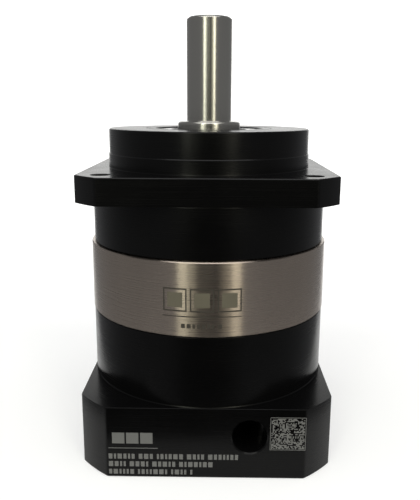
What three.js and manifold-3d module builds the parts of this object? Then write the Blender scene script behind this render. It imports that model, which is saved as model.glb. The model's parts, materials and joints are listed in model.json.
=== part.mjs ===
// Single-stage planetary gearbox, frame size 90, ratio 7:1, with a solid output shaft and a clamped input.
// Millimetres. The origin is the centre of the motor mounting face, and +Z points along the output shaft.
// The motor bolts to the square adapter at the bottom. Its shaft is gripped by the clamp ring, whose screw
// is reached through the round hole in the adapter's front face, which looks towards -Y.

import * as THREE from "three";
import { mergeVertices } from "three/addons/utils/BufferGeometryUtils.js";
import Module from "manifold-3d";

const wasm = await Module();
wasm.setup();

// ---------------------------------------------------------------- driving dimensions

// Clearances
const seatGap = 0.1; // radial, between a pressed or seated piece and its bore
const faceGap = 0.2; // along an axis, between faces that meet
const runningGap = 0.3; // between pieces that turn against each other
const screwGap = 0.25; // radial, around a screw's shank

// Gear set
const gearModule = 1;
const sunTeeth = 12;
const planetTeeth = 30;
const planetCount = 3;
const pressureAngle = THREE.MathUtils.degToRad(25);
const toothAddendum = 0.85;
const toothDedendum = 1.15;
const flankClearance = 0.06; // taken off each flank, so that the teeth run with backlash
const planetWidth = 13.2;
const ringTeeth = sunTeeth + 2 * planetTeeth;
const orbitRadius = (gearModule * (sunTeeth + planetTeeth)) / 2;

// Heights of the outer casings, from the motor face up
const adapterSquareTop = 26.8;
const ringGearBottom = 53.2;
const ringGearTop = 79.4;
const flangeBottom = 97.8;
const flangeTop = 107.3;
const registerTop = 112.6;
const pilotTop = 121.75;
const collarTop = 124.3;
const shaftTop = 162.2;

// Outer casings
const adapterHalfWidth = 45.8;
const adapterCornerRadius = 57.75;
const lowerBodyRadius = 45.7;
const ringGearRadius = 45.95;
const upperBodyRadius = 44.8;
const flangeHalfWidth = 45;
const flangeCornerRadius = 57.9;
const flangeHoleOffset = 36; // each way from the axis
const flangeHoleRadius = 3.3;
const registerRadius = 38.5;
const pilotRadius = 38.24;
const pilotChamfer = 0.8;

// Motor side of the adapter
const motorPilotRadius = 35;
const motorPilotDepth = 5;
const motorHoleOffset = 31.8;
const motorHoleRadius = 2.6; // tapped M6
const motorHoleDepth = 16;
const clampCavityRadius = 25;
const clampCavityTop = 24;
const accessHoleRadius = 6.1;
const accessHoleChamfer = 0.6;
const accessHoleReach = 6; // how far the hole runs on past the cavity's wall
const gearCavityRadius = 30;

// Clamp ring and its screw, M5
const clampRingRadius = 22;
const clampRingHeight = 13;
const clampHeight = 16; // middle of the ring, the screw and the access hole
const clampSlotWidth = 2;
const clampScrewOffset = 15.6;
const clampScrewRadius = 2.5;
const clampScrewLength = 20;
const clampHeadRadius = 4.25;
const clampHeadHeight = 5;
const clampHeadSeat = 7.5; // how far the head bears from the slot's middle
const clampSocketRadius = 2.3; // to the corners of a 4 mm hexagon

// Input shaft, with the sun gear cut on it
const motorShaftRadius = 8;
const motorShaftDepth = 33.5;
const inputShaftBottom = 6.5;
const clampTubeRadius = 11;
const inputSlitWidth = 1.5;
const inputLandRadius = 13;
const inputNeckRadius = 7;
const sunEndGap = 0.6; // from the carrier's front disc
const sunNeckLength = 1.5; // below the teeth, cut down to their roots
const groovedEnd = 1.5; // of a shaft or bore, left beyond a circlip

// Bearings: bore radius, outer radius, width, ball radius and ball count
const outputBearing = { bore: 15, outer: 27.5, width: 13, ball: 3.3, balls: 9 };
const inputBearing = { bore: 12.5, outer: 23.5, width: 12, ball: 2.9, balls: 8 };
const inputBearingBottom = 30;
const frontBearingTop = 111.5;
const rearBearingBottom = 82.4;
const ballGap = 0.45; // room for the balls in the ring's straight-sided track
const trackWallShare = 0.6; // of the ball radius, from the pitch circle to a ring's shoulder
const ballCageHeightShare = 0.55; // of the ball radius, each way from its middle
const ballCageWallShare = 0.22; // of the ball radius, each way from the pitch circle
const bearingSpacerWall = 3;

// Seals and retaining rings
const sealLipGap = 0.1;
const outputSealRadius = 20;
const outputSealHeight = 6.8;
const outputSealSetback = 0.4; // how far the seal lies below the pilot face
const inputSealRadius = 19;
const inputSealHeight = 5.2;
const circlipThickness = 1.2;
const circlipGrooveDepth = 0.8;
const circlipHeight = 3;
const circlipOpening = 3.5; // half the arc length left open
const circlipLugLength = 4; // along the arc
const circlipLugRise = 0.8;
const circlipHoleRadius = 0.8;
const sealLipHeight = 0.6;
const sealSpringGap = 0.5;
const sealWallShare = 0.22; // of the seal's section width
const sealWebShare = 0.35; // of the seal's height

// Output shaft and planet carrier
const shaftRadius = 8.56;
const shaftChamfer = 1;
const collarRadius = 12;
const collarRounding = 0.8;
const centreHoleRadius = 2;
const centreHoleDepth = 4.5;
const centreHoleTip = 0.5;
const carrierRadius = 34;
const carrierDiscThickness = 5;
const carrierHubRadius = 18;
const rearPlateThickness = 4.5;
const rearPlateSetback = 0.7; // above the ring gear's lower face
const rearPlateBore = 9;
const postRadius = 5.5;
const postOffset = 28;
const carrierScrewRadius = 2; // countersunk M4
const carrierScrewLength = 12;
const carrierScrewHeadRadius = 3.9;
const carrierScrewHeadHeight = 2.1;

// Planet bearings
const pinRadius = 4;
const needleRadius = 1;
const needleCount = 12;
const needleStand = 0.5; // of a roller, proud of its cage
const needleFootShare = 0.36; // half widths of a roller's lobe, as shares of the pitch between rollers
const needleCrestShare = 0.16;
const washerRadius = 7.5;
const washerThickness = 0.8;

// Screws, dowels and O-rings of the casing stack
const stackScrewCount = 6;
const stackScrewFirstAngle = THREE.MathUtils.degToRad(30);
const stackCircleRadius = 41.2;
const stackScrewRadius = 2; // socket head M4
const stackScrewSeat = 22;
const stackScrewLength = 69;
const stackHeadRadius = 3.5;
const stackHeadHeight = 4;
const socketRadius = 1.7; // to the corners of a 3 mm hexagon
const socketDepth = 2;
const dowelRadius = 2;
const dowelLength = 9;
const oRingRadius = 38;
const oRingSection = 0.55;
const oRingGrooveGap = 0.2;

// Facets round a full circle
const casingSides = 36;
const boreSides = 20;
const holeSides = 12;
const shankSides = 8;
const accessSides = 24;
const pinSides = 16;
const hexagonSides = 6;
const oRingSides = 5;

// ---------------------------------------------------------------- finishes

function finish(color, roughness, metalness) {
  return new THREE.MeshStandardMaterial({ color, roughness, metalness });
}

const blackAnodised = finish(0x16181a, 0.35, 0.6);
const brushedSteel = finish(0x8c867c, 0.4, 0.9);
const groundSteel = finish(0x9a968f, 0.25, 1);
const gearSteel = finish(0x6d6f72, 0.4, 0.9);
const bearingSteel = finish(0xb4b6b8, 0.2, 1);
const springSteel = finish(0x35302a, 0.5, 0.8);
const screwSteel = finish(0x1d1d1f, 0.45, 0.8);
const sealRubber = finish(0x141414, 0.7, 0);

// ---------------------------------------------------------------- solids

function solidFrom(geometry) {
  const bare = geometry.index ? geometry.toNonIndexed() : geometry.clone();
  bare.deleteAttribute("normal");
  bare.deleteAttribute("uv");
  const merged = mergeVertices(bare, 1e-4);
  const mesh = new wasm.Mesh({
    numProp: 3,
    vertProperties: merged.attributes.position.array,
    triVerts: new Uint32Array(merged.index.array),
  });
  return new wasm.Manifold(mesh);
}

function geometryFrom(solid) {
  const mesh = solid.getMesh();
  const geometry = new THREE.BufferGeometry();
  geometry.setAttribute("position", new THREE.BufferAttribute(mesh.vertProperties, 3));
  geometry.setIndex(new THREE.BufferAttribute(mesh.triVerts, 1));
  geometry.computeVertexNormals();
  return geometry;
}

// Turns a closed outline of [radius, height] points, listed anticlockwise, about the Z axis.
function turned(outline, sides = boreSides) {
  const points = outline.map(([radius, height]) => new THREE.Vector2(radius, height));
  const closesOnAxis = outline[0][0] === 0 && outline.at(-1)[0] === 0;
  if (!closesOnAxis) points.push(points[0].clone());
  return solidFrom(new THREE.LatheGeometry(points, sides).rotateX(Math.PI / 2));
}

function ring(innerRadius, outerRadius, bottom, top, sides = boreSides) {
  const outline = [
    [innerRadius, bottom],
    [outerRadius, bottom],
    [outerRadius, top],
    [innerRadius, top],
  ];
  return turned(outline, sides);
}

// The corner radius of a faceted bore whose flats lie at the radius given.
function flatsAt(radius, sides = casingSides) {
  return radius / Math.cos(Math.PI / sides);
}

// A straight pillar of a 2-D shape, from one height to another.
function pillar(shape, bottom, top, curveSegments = 3) {
  const options = { depth: top - bottom, bevelEnabled: false, curveSegments };
  return solidFrom(new THREE.ExtrudeGeometry(shape, options).translate(0, 0, bottom));
}

function polygonPath(points, Path = THREE.Shape) {
  return new Path(points.map(([x, y]) => new THREE.Vector2(x, y)));
}

function circlePoints(radius, sides, x = 0, y = 0) {
  const points = [];
  for (let i = 0; i < sides; i += 1) {
    const angle = (2 * Math.PI * i) / sides;
    points.push([x + radius * Math.cos(angle), y + radius * Math.sin(angle)]);
  }
  return points;
}

function arcPoints(radius, start, end, steps) {
  const points = [];
  for (let i = 0; i <= steps; i += 1) {
    const angle = start + ((end - start) * i) / steps;
    points.push([radius * Math.cos(angle), radius * Math.sin(angle)]);
  }
  return points;
}

function rod(x, y, radius, bottom, top, sides = holeSides) {
  return pillar(polygonPath(circlePoints(radius, sides, x, y)), bottom, top);
}

function cone(x, y, bottomRadius, topRadius, bottom, top, sides = holeSides) {
  const outline = [
    [0, bottom],
    [bottomRadius, bottom],
    [topRadius, top],
    [0, top],
  ];
  return turned(outline, sides).translate([x, y, 0]);
}

function block(width, depth, height, x, y, z) {
  return solidFrom(new THREE.BoxGeometry(width, depth, height).translate(x, y, z));
}

// Lays a solid modelled along +Z down, so that its +Z points along +Y through the point given.
function layAlongY(solid, x, y, z) {
  return solid.rotate([-90, 0, 0]).translate([x, y, z]);
}

function cut(solid, tools) {
  return tools.reduce((left, tool) => left.subtract(tool), solid);
}

function join(solids) {
  return solids.reduce((all, next) => all.add(next));
}

function aroundAxis(count, radius, firstAngle = 0) {
  const places = [];
  for (let i = 0; i < count; i += 1) {
    const angle = firstAngle + (2 * Math.PI * i) / count;
    places.push({ angle, x: radius * Math.cos(angle), y: radius * Math.sin(angle) });
  }
  return places;
}

// An outline with a low flat-topped lobe for each needle roller.
function lobedOutline(count, lobeRadius, valleyRadius) {
  const step = (2 * Math.PI) / count;
  const points = [];
  for (let lobe = 0; lobe < count; lobe += 1) {
    const corners = [
      [valleyRadius, -needleFootShare],
      [lobeRadius, -needleCrestShare],
      [lobeRadius, needleCrestShare],
      [valleyRadius, needleFootShare],
    ];
    for (const [radius, share] of corners) {
      const angle = (lobe + share) * step;
      points.push([radius * Math.cos(angle), radius * Math.sin(angle)]);
    }
  }
  return polygonPath(points);
}

function squareCorners(offset) {
  return [
    [offset, offset],
    [-offset, offset],
    [-offset, -offset],
    [offset, -offset],
  ];
}

// A square plate outline whose corners are turned to a circle.
function turnedSquare(halfWidth, cornerRadius) {
  const reach = Math.acos(halfWidth / cornerRadius);
  const shape = new THREE.Shape();
  for (let corner = 0; corner < 4; corner += 1) {
    const start = (corner * Math.PI) / 2 + reach;
    const end = ((corner + 1) * Math.PI) / 2 - reach;
    shape.absarc(0, 0, cornerRadius, start, end, false);
  }
  return shape;
}

// ---------------------------------------------------------------- gear teeth

function involute(angle) {
  return Math.tan(angle) - angle;
}

// Points of an involute outline. A positive thinning narrows the teeth, and a negative one widens them.
// Tooth 0 is centred on firstAngle.
function toothOutline(teeth, radii, thinning, firstAngle) {
  const pitchRadius = (gearModule * teeth) / 2;
  const baseRadius = pitchRadius * Math.cos(pressureAngle);
  const pitchHalfAngle = Math.PI / (2 * teeth) - thinning / pitchRadius;
  const halfAngle = (radius) => {
    const slope = Math.acos(Math.min(1, baseRadius / radius));
    return pitchHalfAngle + involute(pressureAngle) - involute(slope);
  };
  const points = [];
  for (let tooth = 0; tooth < teeth; tooth += 1) {
    const middle = firstAngle + (2 * Math.PI * tooth) / teeth;
    const rising = radii.map((radius) => [radius, middle - halfAngle(radius)]);
    const falling = radii.map((radius) => [radius, middle + halfAngle(radius)]).reverse();
    for (const [radius, angle] of [...rising, ...falling]) {
      points.push([radius * Math.cos(angle), radius * Math.sin(angle)]);
    }
  }
  return points;
}

function flankRadii(lowest, highest, count) {
  const step = (highest - lowest) / (count - 1);
  return Array.from({ length: count }, (_, i) => lowest + i * step);
}

function externalGearOutline(teeth, flankPoints, firstAngle = 0) {
  const pitchRadius = (gearModule * teeth) / 2;
  const radii = flankRadii(pitchRadius - toothDedendum, pitchRadius + toothAddendum, flankPoints);
  return toothOutline(teeth, radii, flankClearance, firstAngle);
}

// The hollow of an internal gear is an external outline with its tips and roots swapped over.
function internalGearOutline(teeth, flankPoints) {
  const pitchRadius = (gearModule * teeth) / 2;
  const radii = flankRadii(pitchRadius - toothAddendum, pitchRadius + toothDedendum, flankPoints);
  return toothOutline(teeth, radii, -flankClearance, 0);
}

// ---------------------------------------------------------------- heights inside, worked out from the stack

// The planets sit in the middle of the ring gear's toothed length.
const rearPlateBottom = ringGearBottom + rearPlateSetback;
const rearPlateTop = rearPlateBottom + rearPlateThickness;
const rearWasherBottom = rearPlateTop + faceGap;
const planetBottom = rearWasherBottom + washerThickness + faceGap;
const planetTop = planetBottom + planetWidth;
const frontWasherBottom = planetTop + faceGap;
const carrierDiscBottom = frontWasherBottom + washerThickness + faceGap;
const carrierDiscTop = carrierDiscBottom + carrierDiscThickness;

const frontBearingBottom = frontBearingTop - outputBearing.width;
const rearBearingTop = rearBearingBottom + outputBearing.width;
const bearingShoulder = frontBearingTop + faceGap;
const shaftCirclipBottom = frontBearingTop + faceGap;
const housingCirclipTop = rearBearingBottom - faceGap;
const outputSealTop = pilotTop - outputSealSetback;
const outputSealBottom = outputSealTop - outputSealHeight;

const inputBearingTop = inputBearingBottom + inputBearing.width;
const inputBearingShoulder = inputBearingBottom - faceGap;
const inputCirclipBottom = inputBearingTop + faceGap;
const inputSealBottom = clampCavityTop + faceGap;

const planetBore = pinRadius + 2 * needleRadius + 3 * seatGap;
const stackScrewPlaces = aroundAxis(stackScrewCount, stackCircleRadius, stackScrewFirstAngle);
const dowelPlaces = aroundAxis(2, stackCircleRadius);
const planetPlaces = aroundAxis(planetCount, orbitRadius);
const postPlaces = aroundAxis(planetCount, postOffset, Math.PI / planetCount);

// ---------------------------------------------------------------- the assembly

const gearbox = new THREE.Group();

function addPiece(name, solid, material) {
  const mesh = new THREE.Mesh(geometryFrom(solid), material);
  mesh.name = name;
  gearbox.add(mesh);
}

function circlipGroove(seatRadius, bottom, outwards) {
  const depth = outwards ? circlipGrooveDepth : -circlipGrooveDepth;
  const floor = seatRadius + depth;
  const reach = seatRadius - depth;
  const low = bottom - faceGap;
  const high = bottom + circlipThickness + faceGap;
  return ring(Math.min(floor, reach), Math.max(floor, reach), low, high, casingSides);
}

function oRingGroove(faceHeight, upwards) {
  const half = oRingSection + oRingGrooveGap;
  const depth = 2 * half;
  const low = upwards ? faceHeight - 1 : faceHeight - depth;
  const high = upwards ? faceHeight + depth : faceHeight + 1;
  return ring(oRingRadius - half, oRingRadius + half, low, high, casingSides);
}

function dowelHoles(faceHeight) {
  const half = dowelLength / 2 + faceGap;
  return dowelPlaces.map(({ x, y }) =>
    rod(x, y, dowelRadius + seatGap, faceHeight - half, faceHeight + half, shankSides),
  );
}

function stackScrewHoles(bottom, top) {
  return stackScrewPlaces.map(({ x, y }) =>
    rod(x, y, stackScrewRadius + screwGap, bottom, top, shankSides),
  );
}

// Upper casing, flange and pilot, turned and milled from one piece.
function addFrontHousing() {
  const bottom = ringGearTop + faceGap;
  const seat = flatsAt(outputBearing.outer + seatGap);
  const sealBore = flatsAt(outputSealRadius + seatGap);
  const body = turned(
    [
      [seat, bottom],
      [upperBodyRadius, bottom],
      [upperBodyRadius, (flangeBottom + flangeTop) / 2],
      [registerRadius, (flangeBottom + flangeTop) / 2],
      [registerRadius, registerTop],
      [pilotRadius, registerTop + (registerRadius - pilotRadius)],
      [pilotRadius, pilotTop - pilotChamfer],
      [pilotRadius - pilotChamfer, pilotTop],
      [sealBore + pilotChamfer, pilotTop],
      [sealBore, pilotTop - pilotChamfer],
      [sealBore, bearingShoulder],
      [seat, bearingShoulder],
    ],
    casingSides,
  );
  const flange = pillar(turnedSquare(flangeHalfWidth, flangeCornerRadius), flangeBottom, flangeTop);
  const core = rod(0, 0, registerRadius - 1, flangeBottom - 1, flangeTop + 1, casingSides);
  const flangeHoles = squareCorners(flangeHoleOffset).map(([x, y]) =>
    rod(x, y, flangeHoleRadius, flangeBottom - 1, flangeTop + 1, pinSides),
  );
  const casting = body.add(flange.subtract(core));
  const screwTop = stackScrewSeat + stackScrewLength + 1;
  const tools = [
    ...flangeHoles,
    ...stackScrewHoles(bottom - 1, screwTop),
    ...dowelHoles(ringGearTop),
    oRingGroove(bottom, true),
    circlipGroove(seat, housingCirclipTop - circlipThickness, true),
  ];
  addPiece("front_housing", cut(casting, tools), blackAnodised);
}

function addRingGear() {
  const shape = polygonPath(circlePoints(ringGearRadius, 2 * casingSides));
  shape.holes.push(polygonPath(internalGearOutline(ringTeeth, 2), THREE.Path));
  const blank = pillar(shape, ringGearBottom, ringGearTop);
  const tools = [
    ...stackScrewHoles(ringGearBottom - 1, ringGearTop + 1),
    ...dowelHoles(ringGearBottom),
    ...dowelHoles(ringGearTop),
  ];
  addPiece("ring_gear", cut(blank, tools), brushedSteel);
}

// Square motor adapter and the round lower casing, in one piece.
function addMotorAdapter() {
  const top = ringGearBottom - faceGap;
  const square = pillar(turnedSquare(adapterHalfWidth, adapterCornerRadius), 0, adapterSquareTop);
  const round = rod(0, 0, lowerBodyRadius, adapterSquareTop - 1, top, casingSides);
  const seat = flatsAt(inputBearing.outer + seatGap);
  const sealBore = flatsAt(inputSealRadius + seatGap);
  const gearCavityBottom = inputCirclipBottom + circlipThickness + circlipHeight;
  const hollow = turned(
    [
      [0, -1],
      [motorPilotRadius, -1],
      [motorPilotRadius, motorPilotDepth],
      [clampCavityRadius, motorPilotDepth],
      [clampCavityRadius, clampCavityTop],
      [sealBore, clampCavityTop],
      [sealBore, inputBearingShoulder],
      [seat, inputBearingShoulder],
      [seat, gearCavityBottom],
      [gearCavityRadius, gearCavityBottom],
      [gearCavityRadius, top + 1],
      [0, top + 1],
    ],
    casingSides,
  );
  const accessDepth = adapterHalfWidth - clampCavityRadius + accessHoleReach;
  const access = join([
    rod(0, 0, accessHoleRadius, -accessDepth, 1, accessSides),
    cone(
      0,
      0,
      accessHoleRadius - accessHoleChamfer,
      accessHoleRadius + 2 * accessHoleChamfer,
      -2 * accessHoleChamfer,
      accessHoleChamfer,
      accessSides,
    ),
  ]);
  const motorHoles = squareCorners(motorHoleOffset).map(([x, y]) =>
    rod(x, y, motorHoleRadius, -1, motorHoleDepth, shankSides),
  );
  const counterbores = stackScrewPlaces.map(({ x, y }) =>
    rod(x, y, stackHeadRadius + runningGap, -1, stackScrewSeat),
  );
  const tools = [
    hollow,
    access.rotate([90, 0, 0]).translate([clampScrewOffset, -adapterHalfWidth, clampHeight]),
    ...motorHoles,
    ...counterbores,
    ...stackScrewHoles(stackScrewSeat - 1, top + 1),
    ...dowelHoles(ringGearBottom),
    oRingGroove(top, false),
    circlipGroove(seat, inputCirclipBottom, true),
  ];
  addPiece("motor_adapter", cut(square.add(round), tools), blackAnodised);
}

// Output shaft, bearing seat, carrier disc and the three posts between the planets, in one piece.
function addOutputShaft() {
  const body = turned([
    [0, carrierDiscBottom],
    [carrierRadius, carrierDiscBottom],
    [carrierRadius, carrierDiscTop],
    [carrierHubRadius, carrierDiscTop],
    [carrierHubRadius, rearBearingBottom - faceGap],
    [outputBearing.bore - seatGap, rearBearingBottom - faceGap],
    [outputBearing.bore - seatGap, outputSealBottom - faceGap],
    [collarRadius, outputSealBottom - faceGap],
    [collarRadius, collarTop - collarRounding],
    [collarRadius - collarRounding, collarTop],
    [shaftRadius, collarTop],
    [shaftRadius, shaftTop - shaftChamfer],
    [shaftRadius - shaftChamfer, shaftTop],
    [0, shaftTop],
  ]);
  const posts = postPlaces.map(({ x, y }) =>
    rod(x, y, postRadius, rearPlateTop + faceGap, carrierDiscBottom + 1),
  );
  const screwTip = rearPlateBottom + carrierScrewLength + 1;
  const tools = [
    ...planetPlaces.map(({ x, y }) =>
      rod(x, y, pinRadius + seatGap, carrierDiscBottom - 1, carrierDiscTop + 1, pinSides),
    ),
    ...postPlaces.map(({ x, y }) =>
      rod(x, y, carrierScrewRadius + screwGap, rearPlateTop - 1, screwTip, shankSides),
    ),
    circlipGroove(outputBearing.bore - seatGap, shaftCirclipBottom, false),
    cone(
      0,
      0,
      centreHoleTip,
      centreHoleRadius + centreHoleTip,
      shaftTop - centreHoleDepth,
      shaftTop + centreHoleTip,
    ),
  ];
  addPiece("output_shaft", cut(join([body, ...posts]), tools), groundSteel);
}

function addCarrierRearPlate() {
  const plate = ring(rearPlateBore, carrierRadius, rearPlateBottom, rearPlateTop);
  const headSeat = rearPlateBottom + carrierScrewHeadHeight;
  const tools = [
    ...planetPlaces.map(({ x, y }) =>
      rod(x, y, pinRadius + seatGap, rearPlateBottom - 1, rearPlateTop + 1, pinSides),
    ),
    ...postPlaces.map(({ x, y }) =>
      rod(x, y, carrierScrewRadius + screwGap, rearPlateBottom - 1, rearPlateTop + 1, shankSides),
    ),
    ...postPlaces.map(({ x, y }) =>
      cone(
        x,
        y,
        carrierScrewHeadRadius + screwGap,
        carrierScrewRadius + screwGap,
        rearPlateBottom - 0.01,
        headSeat + screwGap,
      ),
    ),
  ];
  addPiece("carrier_rear_plate", cut(plate, tools), gearSteel);
}

function addCarrierScrews() {
  postPlaces.forEach(({ x, y }, i) => {
    const bottom = rearPlateBottom;
    const headTop = bottom + carrierScrewHeadHeight;
    const screw = turned(
      [
        [0, bottom],
        [carrierScrewHeadRadius, bottom],
        [carrierScrewRadius, headTop],
        [carrierScrewRadius, bottom + carrierScrewLength],
        [0, bottom + carrierScrewLength],
      ],
      holeSides,
    ).translate([x, y, 0]);
    const socket = rod(x, y, socketRadius, bottom - 1, bottom + socketDepth, hexagonSides);
    addPiece(`carrier_screw_${i + 1}`, screw.subtract(socket), screwSteel);
  });
}

function addPlanets() {
  const outline = polygonPath(externalGearOutline(planetTeeth, 3));
  outline.holes.push(polygonPath(circlePoints(planetBore, pinSides), THREE.Path));
  const gear = pillar(outline, planetBottom, planetTop);

  const rollerReach = planetBore - 2 * seatGap;
  const cageShape = lobedOutline(needleCount, rollerReach, rollerReach - needleStand);
  cageShape.holes.push(polygonPath(circlePoints(pinRadius + seatGap, pinSides), THREE.Path));
  const cage = pillar(cageShape, planetBottom + faceGap, planetTop - faceGap);

  const pin = rod(0, 0, pinRadius, rearPlateBottom + faceGap, carrierDiscTop - faceGap, pinSides);
  const washer = (bottom) =>
    ring(pinRadius + seatGap, washerRadius, bottom, bottom + washerThickness, pinSides);

  planetPlaces.forEach(({ angle }, i) => {
    const place = (solid) =>
      solid.translate([orbitRadius, 0, 0]).rotate([0, 0, THREE.MathUtils.radToDeg(angle)]);
    const number = i + 1;
    addPiece(`planet_gear_${number}`, place(gear), gearSteel);
    addPiece(`planet_needle_cage_${number}`, place(cage), bearingSteel);
    addPiece(`planet_pin_${number}`, place(pin), groundSteel);
    addPiece(`planet_rear_washer_${number}`, place(washer(rearWasherBottom)), bearingSteel);
    addPiece(`planet_front_washer_${number}`, place(washer(frontWasherBottom)), bearingSteel);
  });
}

// Input shaft: split clamp tube for the motor shaft, seal land, bearing seat and the sun gear, in one piece.
function addInputShaft() {
  const sunHalfStep = Math.PI / sunTeeth;
  const sunBottom = planetBottom - faceGap;
  const sunTop = carrierDiscBottom - sunEndGap;
  const sunRoot = (gearModule * sunTeeth) / 2 - toothDedendum;
  const seat = inputBearing.bore - seatGap;
  const seatTop = inputCirclipBottom + circlipThickness + groovedEnd;
  const body = turned([
    [0, inputShaftBottom],
    [clampTubeRadius, inputShaftBottom],
    [clampTubeRadius, clampCavityTop],
    [inputLandRadius, clampCavityTop],
    [inputLandRadius, inputBearingBottom - faceGap],
    [seat, inputBearingBottom - faceGap],
    [seat, seatTop],
    [inputNeckRadius, seatTop],
    [inputNeckRadius, sunBottom - sunNeckLength],
    [sunRoot - seatGap, sunBottom - sunNeckLength],
    [sunRoot - seatGap, sunTop],
    [0, sunTop],
  ]);
  const sun = pillar(
    polygonPath(externalGearOutline(sunTeeth, 4, sunHalfStep)),
    sunBottom,
    sunTop - seatGap,
  );
  const boreTop = inputShaftBottom + motorShaftDepth;
  const slitHeight = clampCavityTop - inputShaftBottom;
  const slit = block(
    2 * clampTubeRadius + 2,
    inputSlitWidth,
    slitHeight,
    0,
    0,
    inputShaftBottom + slitHeight / 2 - 1,
  );
  const tools = [
    rod(0, 0, motorShaftRadius, inputShaftBottom - 1, boreTop, boreSides),
    slit,
    circlipGroove(seat, inputCirclipBottom, false),
  ];
  addPiece("input_sun_shaft", cut(body.add(sun), tools), groundSteel);
}

function addClampRing() {
  const bottom = clampHeight - clampRingHeight / 2;
  const top = clampHeight + clampRingHeight / 2;
  const band = ring(clampTubeRadius + seatGap, clampRingRadius, bottom, top);
  const slot = block(
    clampRingRadius,
    clampSlotWidth,
    clampRingHeight + 2,
    clampRingRadius,
    0,
    clampHeight,
  );
  const tip = clampScrewLength - clampHeadSeat + faceGap;
  const shankHole = rod(0, 0, clampScrewRadius + screwGap, -clampRingRadius, tip);
  const headPocket = rod(
    0,
    0,
    clampHeadRadius + screwGap,
    -clampRingRadius - 1,
    -clampHeadSeat,
    pinSides,
  );
  const tools = [
    slot,
    layAlongY(shankHole, clampScrewOffset, 0, clampHeight),
    layAlongY(headPocket, clampScrewOffset, 0, clampHeight),
  ];
  addPiece("clamp_ring", cut(band, tools), gearSteel);
}

function addClampScrew() {
  const seat = -clampHeadSeat - faceGap;
  const head = rod(0, 0, clampHeadRadius, seat - clampHeadHeight, seat, pinSides);
  const shank = rod(0, 0, clampScrewRadius, seat - 0.5, seat + clampScrewLength);
  const bottom = seat - clampHeadHeight;
  const socket = rod(0, 0, clampSocketRadius, bottom - 1, bottom + socketDepth, hexagonSides);
  const screw = head.add(shank).subtract(socket);
  addPiece("clamp_screw", layAlongY(screw, clampScrewOffset, 0, clampHeight), screwSteel);
}

// A deep-groove ball bearing as three pieces: outer ring, inner ring, and the balls in their cage.
function addBallBearing(name, bearing, bottom) {
  const { bore, outer, width, ball, balls } = bearing;
  const middle = bottom + width / 2;
  const top = bottom + width;
  const pitch = (bore + outer) / 2;
  const wall = trackWallShare * ball;
  const track = ball + ballGap;
  const trackHalfWidth = Math.sqrt(track * track - wall * wall);

  const innerRing = turned([
    [bore, bottom],
    [pitch - wall, bottom],
    [pitch - wall, middle - trackHalfWidth],
    [pitch - track, middle],
    [pitch - wall, middle + trackHalfWidth],
    [pitch - wall, top],
    [bore, top],
  ]);
  const shoulder = flatsAt(pitch + wall, boreSides);
  const outerRing = turned([
    [outer, bottom],
    [outer, top],
    [shoulder, top],
    [shoulder, middle + trackHalfWidth],
    [flatsAt(pitch + track, boreSides), middle],
    [shoulder, middle - trackHalfWidth],
    [shoulder, bottom],
  ]);
  const cageHalfHeight = ballCageHeightShare * ball;
  const cageHalfWall = ballCageWallShare * ball;
  const band = ring(
    pitch - cageHalfWall,
    pitch + cageHalfWall,
    middle - cageHalfHeight,
    middle + cageHalfHeight,
  );
  const spheres = aroundAxis(balls, pitch).map(({ x, y }) =>
    solidFrom(new THREE.SphereGeometry(ball, 6, 4).translate(x, y, middle)),
  );
  addPiece(`${name}_outer_ring`, outerRing, bearingSteel);
  addPiece(`${name}_inner_ring`, innerRing, bearingSteel);
  addPiece(`${name}_ball_cage`, join([band, ...spheres]), bearingSteel);
}

function addBearingSpacers() {
  const bottom = rearBearingTop + faceGap;
  const top = frontBearingBottom - faceGap;
  const { bore, outer } = outputBearing;
  const outerSpacer = ring(outer - bearingSpacerWall, outer, bottom, top);
  const innerSpacer = ring(bore, bore + bearingSpacerWall, bottom, top);
  addPiece("bearing_outer_spacer", outerSpacer, gearSteel);
  addPiece("bearing_inner_spacer", innerSpacer, gearSteel);
}

// Open ring with two drilled lugs beside its gap. An internal one springs outwards into a bore.
function circlip(seatRadius, bottom, internal) {
  const inwards = internal ? -1 : 1;
  const rim = seatRadius - (inwards * circlipGrooveDepth) / 2;
  const back = rim + inwards * circlipHeight;
  const lug = back + inwards * circlipLugRise;
  const gapHalf = circlipOpening / seatRadius;
  const lugHalf = gapHalf + circlipLugLength / seatRadius;
  const top = bottom + circlipThickness;
  const full = 2 * Math.PI;
  const outline = [
    ...arcPoints(rim, gapHalf, full - gapHalf, 20),
    ...arcPoints(lug, full - gapHalf, full - lugHalf, 2),
    ...arcPoints(back, full - lugHalf, lugHalf, 16),
    ...arcPoints(lug, lugHalf, gapHalf, 2),
  ];
  const lugMiddle = (gapHalf + lugHalf) / 2;
  const reach = (rim + lug) / 2;
  const holes = [-lugMiddle, lugMiddle].map((angle) => {
    const x = reach * Math.cos(angle);
    const y = reach * Math.sin(angle);
    return rod(x, y, circlipHoleRadius, bottom - 1, top + 1, hexagonSides);
  });
  return cut(pillar(polygonPath(outline), bottom, top), holes);
}

function addCirclips() {
  const housing = circlip(
    outputBearing.outer + seatGap,
    housingCirclipTop - circlipThickness,
    true,
  );
  const shaft = circlip(outputBearing.bore - seatGap, shaftCirclipBottom, false);
  const adapter = circlip(inputBearing.outer + seatGap, inputCirclipBottom, true);
  const input = circlip(inputBearing.bore - seatGap, inputCirclipBottom, false);
  addPiece("housing_circlip", housing, springSteel);
  addPiece("output_shaft_circlip", shaft, springSteel);
  addPiece("adapter_circlip", adapter, springSteel);
  addPiece("input_shaft_circlip", input, springSteel);
}

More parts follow.
